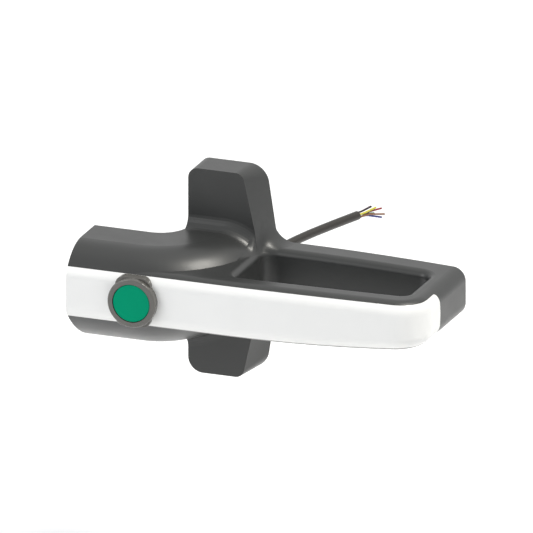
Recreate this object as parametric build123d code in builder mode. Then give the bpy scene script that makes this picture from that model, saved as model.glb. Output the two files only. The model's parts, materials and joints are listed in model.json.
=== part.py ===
from build123d import *
import os
from math import cos, radians, sin, sqrt, tan

# Enabling grip switch: a moulded door grip with a push-button at its left end.
# Millimetres, +Z up, the front faces -Y. The origin is on the rear mounting
# plane, where the cable leaves the lug.

# Overall size
LEFT_END = -79.5
RIGHT_END = 144.3
DEPTH = 87.0

# Front bar, right end and rear beam of the finger loop
BAR_HALF_HEIGHT = 17.5
EDGE_ROUND = 8.5
SINK_START = 34.5
SINK = 2.68
BEND_START = 21.3
BEND_RADIUS = 666.0
CORNER_RADIUS = 22.0
BAR_DEPTH = 18.6
END_WIDTH = 15.6
BEAM_DEPTH = 16.2
OPENING_LEFT = 21.3
OPENING_FRONT_ROUNDS = (4.0, 6.0)
OPENING_REAR_ROUND = 8.0
OPENING_STEP = 0.3
RIM_ROUND = 4.5

# White front strip
STRIP_HALF_HEIGHT = 15.6
STRIP_THICKNESS = 2.0
STRIP_GAP = 0.1
STRIP_END_Y = -42.6
STRIP_END_BULGE = 2.4
STRIP_END_ROUND = 2.5
STRIP_END_LIFT = 0.15

# Pod that holds the button, and the quarter turn that joins it to the lug
WALL = 3.5
FRONT_WALL = 3.0
POD_TOP = 27.0
POD_BOTTOM = -41.4
POD_DEPTH = 48.6
FACET_DEPTH = 24.6
FACET_RADIUS = 28.2
UNDERSIDE_RADIUS = 85.0
TURN_X = -43.5

# Lug that is fixed to the door frame
LUG_THICKNESS = 21.0
LUG_HALF_HEIGHT = 64.8
LUG_RIGHT_REAR = 26.3
LUG_TAPER_REAR = 0.1546
LUG_RIGHT_FRONT = 23.2
LUG_TAPER_FRONT = 0.2224
LUG_LEFT_ROUNDS = (6.3, 9.6)
LUG_FRONT_ROUND = 5.7
LUG_REAR_ROUND = 12.6
NECK_FILLET = 8.4
FLARE_STEPS = 8
CAVITY_STEPS = (0, 0.33, 0.67, 1)
FLARE_START_DEPTH = 0.3

# Threaded mounting inserts
INSERT_SPACING_X = 16.0
INSERT_SPACING_Z = 100.0
INSERT_RADIUS = 3.6
INSERT_LENGTH = 12.0
INSERT_THREAD_RADIUS = 2.1
INSERT_GROOVE = 2.0

# Wiring chamber in the lug and its rear cover
CHAMBER_LEFT = -21.0
CHAMBER_RIGHT = 14.0
CHAMBER_TOP = 24.6
CHAMBER_BOTTOM = -36.6
CHAMBER_ROUND = 3.0
COVER_THICKNESS = 2.5
COVER_LIP = 2.4
COVER_GAP = 0.15
COVER_BOSS_INSET = 2.6

# Rear cover of the pod
WINDOW_LEFT = -75.0
WINDOW_RIGHT = -46.5
WINDOW_TOP = 22.5
WINDOW_BOTTOM = -36.0
SEAL_THICKNESS = 0.5
POD_COVER_THICKNESS = 2.0
POD_COVER_LIP = 2.0

# Self-tapping cover screws
SCREW_RADIUS = 1.45
SCREW_HEAD_RADIUS = 2.7
SCREW_HEAD_HEIGHT = 1.5
SCREW_LENGTH = 9.0
SCREW_CORE_RADIUS = 1.2
SCREW_SLOT = 0.7
BOSS_RADIUS = 3.2
BOSS_LENGTH = 13.0

# Push-button
BUTTON_X = -35.5
BEZEL_RADIUS = 15.3
BEZEL_FRONT = 5.4
BEZEL_THICKNESS = 3.0
BARREL_RADIUS = 15.0
BARREL_WALL = 1.6
BARREL_REAR = 0.8
BARREL_GAP = 0.1
NECK_RADIUS = 11.2
NECK_LENGTH = 17.0
NECK_GAP = 0.2
LENS_RADIUS = 11.7
LENS_GAP = 0.3
LENS_RECESS = 0.3
LENS_THICKNESS = 1.2
TRAVEL = 2.6
BORE_RADIUS = 9.1
SKIRT_WALL = 1.3
SKIRT_LENGTH = 4.9
PLUNGER_GAP = 0.2
LEDGE_THICKNESS = 4.0
STEM_RADIUS = 4.0
NUT_RADIUS = 13.5
NUT_THICKNESS = 4.0
NUT_NOTCHES = 6
NUT_SEAT_DEPTH = 0.4
NUT_NOTCH_RADIUS = 1.2
BEZEL_ROUND = 1.0
LENS_CHAMFER = 0.3
FLANGE_THICKNESS = 2.0
DISC_SCREW_RADIUS = 1.1
DISC_SCREW_LENGTH = 6.0
DISC_SCREW_HEAD = 1.2
SPRING_RADIUS = 6.3
SPRING_WIRE = 0.9
SPRING_TURNS = 5
RUNNING_GAP = 0.05

# Contact unit behind the button
HOLDER_RADIUS = 13.2
HOLDER_OVERLAP = 7.0
DISC_RADIUS = 8.5
DISC_THICKNESS = 1.8
DISC_GAP = 0.2
BLOCK_PITCH = 10.6
BLOCK_WIDTH = 9.6
BLOCK_HEIGHT = 36.0
BLOCK_DEPTH = 15.6
PUSHER_RADIUS = 1.8
PEG_RADIUS = 1.0
PEG_LENGTH = 2.8
HOLDER_WALL = 1.8
BLOCK_WALL = 1.4
BRIDGE_SETBACK = 3.8
BRIDGE_THICKNESS = 0.8
BRIDGE_HALF_HEIGHT = 7.5
FIXED_WIDTH = 4.4
FIXED_INNER_END = 5.0
FIXED_OUTER_END = 17.0
TERMINAL_HEIGHT = 14.0
TERMINAL_SCREW_RADIUS = 1.3
TERMINAL_SCREW_LENGTH = 3.0
TERMINAL_HEAD_RADIUS = 2.4
TERMINAL_HEAD_HEIGHT = 2.0
CONTACT_SPRING_RADIUS = 1.6
CONTACT_SPRING_WIRE = 0.4

# Cable bush, saddle, clamp and terminal strip on the wiring cover
BUSH_RADIUS = 5.0
BUSH_RECESS = 0.2
BUSH_FLANGE_RADIUS = 6.2
BUSH_FLANGE_THICKNESS = 1.2
SADDLE_WIDTH = 20.0
SADDLE_TOP = -0.8
SADDLE_BOTTOM = -9.0
SADDLE_REACH = -13.0
CLAMP_REAR = -6.0
CLAMP_FRONT = -12.0
CLAMP_BOTTOM = 0.8
CLAMP_TOP = 5.0
CLAMP_SCREW_X = 6.6
CLAMP_SCREW_RADIUS = 1.3
CLAMP_SCREW_DEPTH = 6.0
CLAMP_HEAD_RADIUS = 2.4
CLAMP_HEAD_HEIGHT = 1.8
PILLAR_PITCH = 21.0
PILLAR_RADIUS = 2.2
TERMINAL_STRIP_REAR = -8.0
TERMINAL_STRIP_FRONT = -16.0
TERMINAL_STRIP_TOP = -21.5
TERMINAL_STRIP_BOTTOM = -29.5
POLE_PITCH = 4.2
POLE_WELL = 2.8
POLE_SCREW_INSET = 4.0

# Cable and its seven cores
CABLE_DIAMETER = 5.5
CABLE_INNER_Y = -13.0
CABLE_POINTS = [(0.0, 8.0), (7.0, 38.0), (19.0, 70.0), (33.8, 106.5)]
CORE_DIAMETER = 1.15
CABLE_CLEAR_RADIUS = CABLE_DIAMETER / 2 + 0.05
BEND_SHARE = 0.45
CORE_RING = 1.7
CORE_STRAIGHT_SHARE = 0.35
CORE_COUNT = 7
# Colour, place on the ring in degrees, length, and how far the end rises
CORES = (
    ("black", 90, 12.0, 2.6),
    ("violet", 150, 13.0, 2.0),
    ("yellow", 30, 14.5, 1.7),
    ("red", None, 21.0, -0.8),
    ("green", 210, 16.0, -3.0),
    ("brown", 330, 22.0, -4.4),
    ("blue", 270, 21.0, -6.5),
)

FRONT = -DEPTH
POD_REAR = FRONT + POD_DEPTH
FACET_TOP_Y = FRONT + FACET_DEPTH
FLAT_HALF = BAR_HALF_HEIGHT - EDGE_ROUND
STRIP_RECESS = EDGE_ROUND - sqrt(EDGE_ROUND**2 - (STRIP_HALF_HEIGHT - FLAT_HALF) ** 2)
LUG_FRONT = -LUG_THICKNESS
FAR = 300.0

os.makedirs("parts", exist_ok=True)


# Selectors and small helpers


def nearest_edge(edges, x, y, z):
    """The edge whose middle lies nearest to a point."""
    target = Vector(x, y, z)
    return min(edges, key=lambda edge: (edge.center() - target).length)


def arc_rise(radius, run):
    """How far an arc has turned aside after a run along its tangent."""
    return radius - sqrt(radius**2 - run**2)


def button_plane(forward=0.0):
    """A plane across the button's axis, its normal towards the hand."""
    return Plane(origin=(BUTTON_X, FRONT - forward, 0), x_dir=(1, 0, 0), z_dir=(0, -1, 0))


def rear_plane(y=0.0):
    """A plane parallel to the mounting plane, its normal away from the grip."""
    return Plane(origin=(0, y, 0), x_dir=(-1, 0, 0), z_dir=(0, 1, 0))


def save(part, name):
    part.label = name
    export_step(part, f"parts/{name}.step")


# Forms that the body, the strip and the seats share


def sink_profile(half_height):
    """Side view of the bar: level at the left, sinking towards the right end."""
    with BuildSketch(Plane.XZ) as profile:
        with BuildLine():
            start = (LEFT_END - 5, half_height)
            level = Line(start, (SINK_START, half_height))
            top = TangentArc(level @ 1, (RIGHT_END, half_height - SINK), tangent=(1, 0))
            beyond = RIGHT_END + 5
            Polyline(top @ 1, (beyond, half_height - SINK), (beyond, 0), (LEFT_END - 5, 0), start)
        make_face()
        mirror(about=Plane.XZ)
    return profile.sketch


def front_form(inset):
    """The rounded front of the grip, as if it were one solid slab, moved in."""
    front = FRONT + inset
    right = RIGHT_END - inset
    half = BAR_HALF_HEIGHT
    bend = BEND_RADIUS - inset
    with BuildPart() as form:
        with BuildSketch(Plane.XY.offset(-half)):
            with BuildLine():
                level = Line((LEFT_END, front), (BEND_START, front))
                end = (right, front + arc_rise(bend, right - BEND_START))
                arc = TangentArc(level @ 1, end, tangent=(1, 0))
                left_rear = POD_REAR - 12
                Polyline(arc @ 1, (right, 0), (0, 0), (0, left_rear), (LEFT_END, left_rear), level @ 0)
            make_face()
        extrude(amount=2 * half)
        extrude(sink_profile(half), amount=FAR, both=True, mode=Mode.INTERSECT)
        corner = nearest_edge(form.edges().filter_by(Axis.Z), right, front, 0)
        fillet(corner, CORNER_RADIUS - inset)
        middle = (LEFT_END + BEND_START) / 2
        rims = [nearest_edge(form.edges(), middle, front, side * half) for side in (1, -1)]
        fillet(rims, EDGE_ROUND)
    return form.part


def strip_form(outer_inset, inner_inset, edge_gap):
    """The curved layer that the strip fills, wrapped round the right corner."""
    with BuildPart() as layer:
        add(front_form(outer_inset))
        add(front_form(inner_inset), mode=Mode.SUBTRACT)
        extrude(sink_profile(STRIP_HALF_HEIGHT + edge_gap), amount=FAR, both=True, mode=Mode.INTERSECT)
        with BuildSketch(Plane.YZ) as side_view:
            with BuildLine():
                end = STRIP_END_Y + edge_gap
                low = STRIP_HALF_HEIGHT + edge_gap - SINK + STRIP_END_LIFT
                wide = 2 * BAR_HALF_HEIGHT
                widening = STRIP_END_Y - CORNER_RADIUS
                bulge = ThreePointArc((end - STRIP_END_BULGE, -low), (end, 0), (end - STRIP_END_BULGE, low))
                upper = [(widening, low), (widening, wide), (FRONT - 5, wide)]
                lower = [(y, -z) for y, z in reversed(upper)]
                Polyline(bulge @ 1, *upper, *lower, bulge @ 0)
            make_face()
            fillet(side_view.vertices().sort_by(Axis.X)[-2:], STRIP_END_ROUND)
        extrude(amount=FAR, both=True, mode=Mode.INTERSECT)
    return layer.part


def pod_profile():
    """Section of the pod, cut across the bar: front, facet, flat top, underside."""
    edge_y = FRONT + STRIP_RECESS
    with BuildSketch(Plane.YZ.offset(TURN_X)) as profile:
        with BuildLine():
            Line((FRONT, -FLAT_HALF), (FRONT, FLAT_HALF))
            upper = TangentArc((FRONT, FLAT_HALF), (edge_y, STRIP_HALF_HEIGHT), tangent=(0, 1))
            facet = RadiusArc(upper @ 1, (FACET_TOP_Y, POD_TOP), FACET_RADIUS)
            Polyline(facet @ 1, (POD_REAR, POD_TOP), (POD_REAR, POD_BOTTOM))
            RadiusArc((POD_REAR, POD_BOTTOM), (edge_y, -STRIP_HALF_HEIGHT), UNDERSIDE_RADIUS)
            TangentArc((FRONT, -FLAT_HALF), (edge_y, -STRIP_HALF_HEIGHT), tangent=(0, -1))
        make_face()
    return profile.sketch


def pod_band():
    """The pod's section, drawn straight and then turned a quarter circle."""
    section = pod_profile().face()
    with BuildPart() as band:
        extrude(section, amount=TURN_X - LEFT_END, dir=(-1, 0, 0))
        turn_axis = Axis((TURN_X, LUG_FRONT, 0), (0, 0, 1))
        revolve(section, axis=turn_axis, revolution_arc=90)
    return band.part


# The moulded body


def opening_prism(grow):
    """The finger opening, with straight walls and rounded corners, grown all round."""
    left = OPENING_LEFT - grow
    front = FRONT + BAR_DEPTH - grow
    right = RIGHT_END - END_WIDTH + grow
    rear = -BEAM_DEPTH + grow
    right_front = front + arc_rise(BEND_RADIUS - BAR_DEPTH, right - left)
    with BuildPart() as prism:
        with BuildSketch(Plane.XY.offset(-2 * BAR_HALF_HEIGHT)):
            with BuildLine():
                side = Line((left, rear), (left, front))
                arc = TangentArc(side @ 1, (right, right_front), tangent=(1, 0))
                Polyline(arc @ 1, (right, rear), side @ 0)
            make_face()
        extrude(amount=4 * BAR_HALF_HEIGHT)
        corners = (
            (left, front, OPENING_FRONT_ROUNDS[0]),
            (right, right_front, OPENING_FRONT_ROUNDS[1]),
            (right, rear, OPENING_REAR_ROUND),
            (left, rear, OPENING_REAR_ROUND),
        )
        for x, y, radius in corners:
            fillet(nearest_edge(prism.edges().filter_by(Axis.Z), x, y, 0), radius + grow)
    return prism.part


def finger_loop():
    """Front bar, right end and rear beam round the finger opening."""
    middle = (FRONT + BAR_DEPTH - BEAM_DEPTH) / 2
    with BuildPart() as loop:
        add(front_form(0))
        add(opening_prism(0), mode=Mode.SUBTRACT)
        rims = [nearest_edge(loop.edges(), OPENING_LEFT, middle, side * BAR_HALF_HEIGHT) for side in (1, -1)]
        fillet(rims, RIM_ROUND)
    return loop.part


def lug_outline(y, right, taper, right_round):
    """Front view of the lug, its right side leaning in towards both ends."""
    with BuildSketch(Plane.XZ.offset(-y)) as outline:
        tip = right - taper * LUG_HALF_HEIGHT
        left = TURN_X + LUG_FRONT - POD_REAR
        with BuildLine():
            Polyline(
                (left, -LUG_HALF_HEIGHT),
                (left, LUG_HALF_HEIGHT),
                (tip, LUG_HALF_HEIGHT),
                (right, 0),
                (tip, -LUG_HALF_HEIGHT),
                close=True,
            )
        make_face()
        corners = (
            (left, LUG_HALF_HEIGHT, LUG_LEFT_ROUNDS[0]),
            (left, -LUG_HALF_HEIGHT, LUG_LEFT_ROUNDS[1]),
            (tip, LUG_HALF_HEIGHT, right_round),
            (tip, -LUG_HALF_HEIGHT, right_round),
        )
        for x, z, radius in corners:
            corner = min(outline.vertices(), key=lambda v: (v.X - x) ** 2 + (v.Y - z) ** 2)
            fillet(corner, radius)
    return outline.sketch


def lug_block():
    """The lug, lofted from its rear outline to its slimmer front outline."""
    with BuildPart() as block:
        rear = lug_outline(0, LUG_RIGHT_REAR, LUG_TAPER_REAR, LUG_REAR_ROUND)
        front = lug_outline(LUG_FRONT, LUG_RIGHT_FRONT, LUG_TAPER_FRONT, LUG_FRONT_ROUND)
        loft([rear, front], ruled=True)
    return block.part


def flare_section(spread):
    """The pod's section grown by a spread above and below, without its front."""
    edge_y = FRONT + STRIP_RECESS
    with BuildSketch(Plane.YZ.offset(TURN_X)) as section:
        with BuildLine():
            facet = RadiusArc(
                (edge_y, STRIP_HALF_HEIGHT), (FACET_TOP_Y, POD_TOP), FACET_RADIUS, mode=Mode.PRIVATE
            )
            under = RadiusArc(
                (POD_REAR, POD_BOTTOM), (edge_y, -STRIP_HALF_HEIGHT), UNDERSIDE_RADIUS, mode=Mode.PRIVATE
            )
            upper_start = facet @ 0 + spread * Vector(-(facet % 0).Y, (facet % 0).X)
            upper_end = facet @ 1 + Vector(0, spread)
            lower_start = under @ 0 - Vector(0, spread)
            lower_end = under @ 1 + spread * Vector(-(under % 1).Y, (under % 1).X)
            RadiusArc(upper_start, upper_end, FACET_RADIUS + spread)
            Polyline(upper_end, (POD_REAR, POD_TOP + spread), lower_start)
            RadiusArc(lower_start, lower_end, UNDERSIDE_RADIUS + spread)
            Line(lower_end, upper_start)
        make_face()
    return section.sketch


def neck_flare():
    """The concave sweep where the turned pod runs out onto the lug's front."""
    turn_axis = Axis((TURN_X, LUG_FRONT, 0), (0, 0, 1))
    reach = LUG_FRONT - FRONT - FACET_RADIUS / 2
    front = lug_outline(LUG_FRONT, LUG_RIGHT_FRONT, LUG_TAPER_FRONT, LUG_FRONT_ROUND)
    sections = []
    for step in range(FLARE_STEPS + 1):
        angle = radians(90 * step / FLARE_STEPS)
        back = NECK_FILLET * (1 - sin(angle))
        spread = NECK_FILLET * (1 - cos(angle)) - FLARE_START_DEPTH
        turned = flare_section(spread).rotate(turn_axis, 90)
        sections.append(turned.translate((-arc_rise(reach, back), -back, 0)))
    with BuildPart() as flare:
        loft(sections, ruled=True)
        extrude(front, amount=2 * NECK_FILLET, dir=(0, -1, 0), mode=Mode.INTERSECT)
    return flare.part


def outer_body():
    """The outside of the body: band, loop and lug run into one another."""
    with BuildPart() as body:
        add(pod_band())
        add(lug_block())
        add(neck_flare())
        add(opening_prism(OPENING_STEP), mode=Mode.SUBTRACT)
        add(finger_loop())
    return body.part


def chamber_space():
    """The wiring chamber in the lug, its corners rounded, and the cover's rebate."""
    width = CHAMBER_RIGHT - CHAMBER_LEFT
    height = CHAMBER_TOP - CHAMBER_BOTTOM
    centre = (-(CHAMBER_LEFT + CHAMBER_RIGHT) / 2, (CHAMBER_TOP + CHAMBER_BOTTOM) / 2)
    with BuildPart() as space:
        with BuildSketch(rear_plane()):
            with Locations(centre):
                RectangleRounded(width, height, CHAMBER_ROUND)
        extrude(amount=-LUG_THICKNESS)
        with BuildSketch(rear_plane()):
            with Locations(centre):
                RectangleRounded(width + 2 * COVER_LIP, height + 2 * COVER_LIP, CHAMBER_ROUND)
        extrude(amount=-COVER_THICKNESS)
    return space.part


def chamber_screw_places():
    """Where the four screws of the wiring cover stand, as x and z."""
    inset = COVER_BOSS_INSET
    xs = (CHAMBER_LEFT + inset, CHAMBER_RIGHT - inset)
    zs = (CHAMBER_BOTTOM + inset, CHAMBER_TOP - inset)
    return [(x, z) for x in xs for z in zs]


def window_screw_places():
    """Where the four screws of the pod's rear cover stand, as x and z."""
    inset = COVER_BOSS_INSET
    xs = (WINDOW_LEFT + inset, WINDOW_RIGHT - inset)
    zs = (WINDOW_BOTTOM + inset, WINDOW_TOP - inset)
    return [(x, z) for x in xs for z in zs]


def insert_places():
    """Where the four mounting inserts stand, as x and z."""
    xs = (-INSERT_SPACING_X / 2, INSERT_SPACING_X / 2)
    zs = (-INSERT_SPACING_Z / 2, INSERT_SPACING_Z / 2)
    return [(x, z) for x in xs for z in zs]


def seen_from_behind(places):
    """Places given as x and z, in the rear plane's own coordinates."""
    return [(-x, z) for x, z in places]


def window_sketch(y, grow, corner):
    """The pod's rear window, grown or shrunk all round."""
    width = WINDOW_RIGHT - WINDOW_LEFT + 2 * grow
    height = WINDOW_TOP - WINDOW_BOTTOM + 2 * grow
    with BuildSketch(rear_plane(y)) as outline:
        with Locations((-(WINDOW_LEFT + WINDOW_RIGHT) / 2, (WINDOW_TOP + WINDOW_BOTTOM) / 2)):
            RectangleRounded(width, height, corner)
    return outline.sketch


def screw_bosses(places, y):
    """Round posts for the cover screws, standing forward from a lip."""
    with BuildPart() as bosses:
        with BuildSketch(rear_plane(y)):
            with Locations(*seen_from_behind(places)):
                Circle(BOSS_RADIUS)
        extrude(amount=-BOSS_LENGTH)
    return bosses.part


def screw_cores(places, y):
    """The holes that the cover screws cut their threads in."""
    with BuildPart() as cores:
        with BuildSketch(rear_plane(y)):
            with Locations(*seen_from_behind(places)):
                Circle(SCREW_RADIUS)
        extrude(amount=-SCREW_LENGTH)
    return cores.part


def cavity_section():
    """The pod's section moved in by the wall, its arcs drawn as chords."""
    front_wall_rear = FRONT + STRIP_THICKNESS + STRIP_GAP + FRONT_WALL
    edge_y = FRONT + STRIP_RECESS
    facet = RadiusArc((edge_y, STRIP_HALF_HEIGHT), (FACET_TOP_Y, POD_TOP), FACET_RADIUS)
    belly = RadiusArc((POD_REAR, POD_BOTTOM), (edge_y, -STRIP_HALF_HEIGHT), UNDERSIDE_RADIUS)
    top = [facet @ t + WALL * (facet % t).rotate(Axis.Z, -90) for t in CAVITY_STEPS]
    bottom = [belly @ t + WALL * (belly % t).rotate(Axis.Z, -90) for t in CAVITY_STEPS]
    rear = POD_REAR - WALL
    corners = [(front_wall_rear, top[0].Y - 1), *[tuple(point)[:2] for point in top]]
    corners += [(rear, POD_TOP - WALL), (rear, POD_BOTTOM + WALL)]
    corners += [tuple(point)[:2] for point in bottom[1:]]
    corners += [(front_wall_rear, bottom[-1].Y + 1)]
    with BuildSketch(Plane.YZ.offset(TURN_X)) as section:
        with BuildLine():
            Polyline(*corners, close=True)
        make_face()
    return section.sketch


def pod_cavity():
    """The hollow of the pod and its turn, behind the front wall."""
    section = cavity_section().face()
    with BuildPart() as cavity:
        extrude(section, amount=TURN_X - LEFT_END - WALL, dir=(-1, 0, 0))
        revolve(section, axis=Axis((TURN_X, LUG_FRONT, 0), (0, 0, 1)), revolution_arc=90)
    return cavity.part


def build_body():
    """The grey moulding, with its cavity, seats, bosses and holes."""
    pod_lip = POD_REAR - POD_COVER_THICKNESS - SEAL_THICKNESS
    lug_lip = -COVER_THICKNESS
    wall_rear = STRIP_THICKNESS + STRIP_GAP + FRONT_WALL
    with BuildPart() as body:
        add(outer_body())
        add(strip_form(-1, STRIP_THICKNESS + STRIP_GAP, STRIP_GAP), mode=Mode.SUBTRACT)
        with BuildSketch(button_plane(NUT_SEAT)):
            Circle(NUT_RADIUS + 4 * NECK_GAP)
        extrude(amount=-2 * NUT_THICKNESS, mode=Mode.SUBTRACT)
        add(pod_cavity(), mode=Mode.SUBTRACT)
        add(chamber_space(), mode=Mode.SUBTRACT)
        extrude(window_sketch(POD_REAR, 0, CHAMBER_ROUND), amount=-2 * WALL, mode=Mode.SUBTRACT)
        rebate = window_sketch(POD_REAR, POD_COVER_LIP, CHAMBER_ROUND)
        extrude(rebate, amount=pod_lip - POD_REAR, mode=Mode.SUBTRACT)
        add(screw_bosses(window_screw_places(), pod_lip))
        add(screw_bosses(chamber_screw_places(), lug_lip))
        add(screw_cores(window_screw_places(), pod_lip), mode=Mode.SUBTRACT)
        add(screw_cores(chamber_screw_places(), lug_lip), mode=Mode.SUBTRACT)
        with BuildSketch(button_plane()):
            Circle(NECK_RADIUS + NECK_GAP)
        extrude(amount=-2 * wall_rear, mode=Mode.SUBTRACT)
        with BuildSketch(rear_plane()):
            with Locations(*seen_from_behind(insert_places())):
                Circle(INSERT_RADIUS)
        extrude(amount=-INSERT_LENGTH, mode=Mode.SUBTRACT)
    return body.part


# The white strip


def build_strip():
    """The white strip, with its button hole and rounded end corners."""
    with BuildPart() as strip:
        add(strip_form(0, STRIP_THICKNESS, 0))
        with BuildSketch(button_plane()):
            Circle(NECK_RADIUS + NECK_GAP)
        extrude(amount=-2 * STRIP_THICKNESS, mode=Mode.SUBTRACT)
    return strip.part


# The push-button, each piece turned about the button's axis


def turned(points):
    """A ring from points given as distance in front of the bar, and radius."""
    with BuildPart() as ring:
        with BuildSketch(Plane.YZ.offset(BUTTON_X)):
            with BuildLine():
                Polyline(*[(FRONT - forward, radius) for forward, radius in points], close=True)
            make_face()
        revolve(axis=Axis((BUTTON_X, 0, 0), (0, 1, 0)))
    return ring.part


NECK_REAR = BARREL_REAR - NECK_LENGTH
LEDGE_FRONT = NECK_REAR + LEDGE_THICKNESS
BEZEL_REAR = BEZEL_FRONT - BEZEL_THICKNESS
LENS_FRONT = BEZEL_FRONT - LENS_RECESS
LENS_REAR = LENS_FRONT - LENS_THICKNESS
WELL_FLOOR = LENS_REAR - TRAVEL - PLUNGER_GAP
PISTON_RADIUS = BORE_RADIUS - PLUNGER_GAP
SKIRT_REAR = LENS_REAR - SKIRT_LENGTH
FLANGE_REAR = SKIRT_REAR - PLUNGER_GAP - FLANGE_THICKNESS
DISC_FRONT = NECK_REAR - DISC_GAP
DISC_REAR = DISC_FRONT - DISC_THICKNESS
NUT_SEAT = NUT_SEAT_DEPTH - (STRIP_THICKNESS + STRIP_GAP + FRONT_WALL)
HOLDER_FLOOR = DISC_REAR - TRAVEL - DISC_SCREW_HEAD - 2 * DISC_GAP
HOLDER_REAR = HOLDER_FLOOR - HOLDER_WALL
BRIDGE_FRONT = HOLDER_REAR - BRIDGE_SETBACK
BRIDGE_REAR = BRIDGE_FRONT - BRIDGE_THICKNESS
FIXED_FRONT = BRIDGE_REAR - TRAVEL - PLUNGER_GAP
FIXED_REAR = FIXED_FRONT - BRIDGE_THICKNESS
BLOCK_REAR = HOLDER_REAR - BLOCK_DEPTH


def build_button_housing():
    """Bezel, barrel and threaded neck in one moulding, with the spring's ledge."""
    inner = BARREL_RADIUS - BARREL_WALL
    with BuildPart() as skirt:
        add(
            turned(
                (
                    (BARREL_REAR, inner),
                    (BARREL_REAR, BARREL_RADIUS),
                    (-EDGE_ROUND, BARREL_RADIUS),
                    (-EDGE_ROUND, inner),
                )
            )
        )
        add(front_form(-BARREL_GAP), mode=Mode.SUBTRACT)
    with BuildPart() as housing:
        add(
            turned(
                (
                    (BEZEL_FRONT, LENS_RADIUS + LENS_GAP),
                    (BEZEL_FRONT, BEZEL_RADIUS),
                    (BEZEL_REAR, BEZEL_RADIUS),
                    (BEZEL_REAR, BARREL_RADIUS),
                    (BARREL_REAR, BARREL_RADIUS),
                    (BARREL_REAR, NECK_RADIUS),
                    (NECK_REAR, NECK_RADIUS),
                    (NECK_REAR, STEM_RADIUS + PLUNGER_GAP),
                    (LEDGE_FRONT, STEM_RADIUS + PLUNGER_GAP),
                    (LEDGE_FRONT, BORE_RADIUS),
                    (WELL_FLOOR, BORE_RADIUS),
                    (WELL_FLOOR, LENS_RADIUS + LENS_GAP),
                )
            )
        )
        rims = housing.edges().filter_by(GeomType.CIRCLE).group_by(Axis.Y)[0].sort_by(SortBy.LENGTH)
        fillet(rims[-1], BEZEL_ROUND)
        add(skirt.part)
    return housing.part


def build_button_gasket():
    """Flat rubber ring whose rear follows the strip's rounded front."""
    inner = NECK_RADIUS + NECK_GAP
    outer = BARREL_RADIUS - BARREL_WALL - NECK_GAP
    with BuildPart() as gasket:
        add(turned(((BARREL_REAR, inner), (BARREL_REAR, outer), (-EDGE_ROUND, outer), (-EDGE_ROUND, inner))))
        add(front_form(0), mode=Mode.SUBTRACT)
    return gasket.part


def build_lens():
    """Green cap with the skirt that clips over the plunger."""
    skirt_inner = PISTON_RADIUS - SKIRT_WALL
    with BuildPart() as lens:
        add(
            turned(
                (
                    (LENS_FRONT, 0),
                    (LENS_FRONT, LENS_RADIUS),
                    (LENS_REAR, LENS_RADIUS),
                    (LENS_REAR, PISTON_RADIUS),
                    (SKIRT_REAR, PISTON_RADIUS),
                    (SKIRT_REAR, skirt_inner),
                    (LENS_REAR, skirt_inner),
                    (LENS_REAR, 0),
                )
            )
        )
        chamfer(lens.edges().filter_by(GeomType.CIRCLE).group_by(Axis.Y)[0], LENS_CHAMFER)
    return lens.part


def build_plunger():
    """Piston under the lens, its spring flange and its stem."""
    piston = PISTON_RADIUS - SKIRT_WALL - PLUNGER_GAP / 2
    flange_front = FLANGE_REAR + FLANGE_THICKNESS
    with BuildPart() as plunger:
        add(
            turned(
                (
                    (LENS_REAR - PLUNGER_GAP, 0),
                    (LENS_REAR - PLUNGER_GAP, piston),
                    (flange_front, piston),
                    (flange_front, PISTON_RADIUS),
                    (FLANGE_REAR, PISTON_RADIUS),
                    (FLANGE_REAR, STEM_RADIUS),
                    (DISC_FRONT, STEM_RADIUS),
                    (DISC_FRONT, 0),
                )
            )
        )
        with BuildSketch(button_plane(DISC_FRONT)):
            Circle(DISC_SCREW_RADIUS)
        extrude(amount=DISC_SCREW_LENGTH, mode=Mode.SUBTRACT)
    return plunger.part


def build_press_disc():
    """Disc on the stem's end: it holds the plunger in and presses both contacts."""
    with BuildPart() as disc:
        with BuildSketch(button_plane(DISC_REAR)):
            Circle(DISC_RADIUS)
            Circle(DISC_SCREW_RADIUS, mode=Mode.SUBTRACT)
        extrude(amount=DISC_THICKNESS)
    return disc.part


def build_disc_screw():
    """Pan-head screw from behind into the stem."""
    with BuildPart() as screw:
        with BuildSketch(button_plane(DISC_REAR - DISC_SCREW_HEAD)):
            Circle(2 * DISC_SCREW_RADIUS)
        extrude(amount=DISC_SCREW_HEAD)
        with BuildSketch(button_plane(DISC_REAR)):
            Circle(DISC_SCREW_RADIUS - RUNNING_GAP)
        extrude(amount=DISC_THICKNESS + DISC_SCREW_LENGTH - PLUNGER_GAP)
        with BuildSketch(button_plane(DISC_REAR - DISC_SCREW_HEAD)):
            Rectangle(4 * DISC_SCREW_RADIUS, DISC_SCREW_HEAD / 2)
        extrude(amount=DISC_SCREW_HEAD / 2, mode=Mode.SUBTRACT)
    return screw.part


def coil(axis_x, rear, front, radius, wire, turns):
    """A spring between two faces, its wire just touching both."""
    rise = front - rear - wire
    with BuildPart() as spring:
        with BuildLine():
            start = (axis_x, FRONT - rear - wire / 2, 0)
            path = Helix(pitch=rise / turns, height=rise, radius=radius, center=start, direction=(0, -1, 0))
        with BuildSketch(Plane(origin=path @ 0, z_dir=path % 0)):
            Circle(wire / 2)
        sweep(is_frenet=True)
    return spring.part


def build_locknut():
    """Ring nut in a shallow seat behind the body's front wall, notched for a key."""
    with BuildPart() as nut:
        with BuildSketch(button_plane(NUT_SEAT)):
            Circle(NUT_RADIUS)
            Circle(NECK_RADIUS + RUNNING_GAP, mode=Mode.SUBTRACT)
            with PolarLocations(NUT_RADIUS, NUT_NOTCHES):
                Circle(NUT_NOTCH_RADIUS, mode=Mode.SUBTRACT)
        extrude(amount=-NUT_THICKNESS)
    return nut.part


# The contact unit


def block_xs():
    return (BUTTON_X - BLOCK_PITCH / 2, BUTTON_X + BLOCK_PITCH / 2)


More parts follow.
